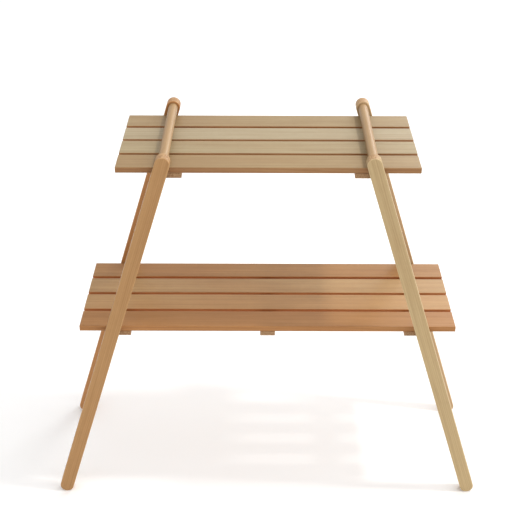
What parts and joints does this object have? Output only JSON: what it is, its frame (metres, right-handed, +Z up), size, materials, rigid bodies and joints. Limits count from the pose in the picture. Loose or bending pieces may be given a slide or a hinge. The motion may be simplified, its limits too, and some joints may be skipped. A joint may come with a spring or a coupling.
{
  "type": "two-tier slatted wooden stand",
  "caption": "Free-standing slatted wooden stand with inward-leaning side frames, round-ended legs, round top rails and a short shelf above a longer one.",
  "frame": {"origin": "on the floor, under the middle of the stand's footprint", "axes": "+X to the right along the shelves, +Y from the front to the rear, +Z up"},
  "size_m": [0.956, 0.33, 0.843],
  "materials": {
    "leg_wood": "clear satin over straight-grained wood",
    "rail_wood": "clear satin over straight-grained wood",
    "top_slat_wood": "clear satin over straight-grained wood",
    "lower_slat_wood": "clear satin over straight-grained wood",
    "batten_wood": "clear satin over straight-grained wood",
    "screw_steel": "plain zinc-plated"
  },
  "bodies": {
    "root": {"leg_front_left": "leg_wood", "leg_front_right": "leg_wood", "leg_rear_left": "leg_wood", "leg_rear_right": "leg_wood", "top_rail_left": "rail_wood", "top_rail_right": "rail_wood", "top_rung_left": "rail_wood", "top_rung_right": "rail_wood", "top_slat_1": "top_slat_wood", "top_slat_2": "top_slat_wood", "top_slat_3": "top_slat_wood", "top_slat_4": "top_slat_wood", "top_batten_left": "batten_wood", "top_batten_screw_left_1": "screw_steel", "top_batten_screw_left_2": "screw_steel", "top_batten_screw_left_3": "screw_steel", "top_batten_screw_left_4": "screw_steel", "top_batten_right": "batten_wood", "top_batten_screw_right_1": "screw_steel", "top_batten_screw_right_2": "screw_steel", "top_batten_screw_right_3": "screw_steel", "top_batten_screw_right_4": "screw_steel", "top_rung_screw_left_2": "screw_steel", "top_rung_screw_left_3": "screw_steel", "top_rung_screw_right_2": "screw_steel", "top_rung_screw_right_3": "screw_steel", "lower_rung_left": "rail_wood", "lower_rung_right": "rail_wood", "lower_slat_1": "lower_slat_wood", "lower_slat_2": "lower_slat_wood", "lower_slat_3": "lower_slat_wood", "lower_slat_4": "lower_slat_wood", "lower_batten_left": "batten_wood", "lower_batten_screw_left_1": "screw_steel", "lower_batten_screw_left_2": "screw_steel", "lower_batten_screw_left_3": "screw_steel", "lower_batten_screw_left_4": "screw_steel", "lower_batten_middle": "batten_wood", "lower_batten_screw_middle_1": "screw_steel", "lower_batten_screw_middle_2": "screw_steel", "lower_batten_screw_middle_3": "screw_steel", "lower_batten_screw_middle_4": "screw_steel", "lower_batten_right": "batten_wood", "lower_batten_screw_right_1": "screw_steel", "lower_batten_screw_right_2": "screw_steel", "lower_batten_screw_right_3": "screw_steel", "lower_batten_screw_right_4": "screw_steel", "lower_rung_screw_left_2": "screw_steel", "lower_rung_screw_left_3": "screw_steel", "lower_rung_screw_right_2": "screw_steel", "lower_rung_screw_right_3": "screw_steel"}
  },
  "joints": []
}
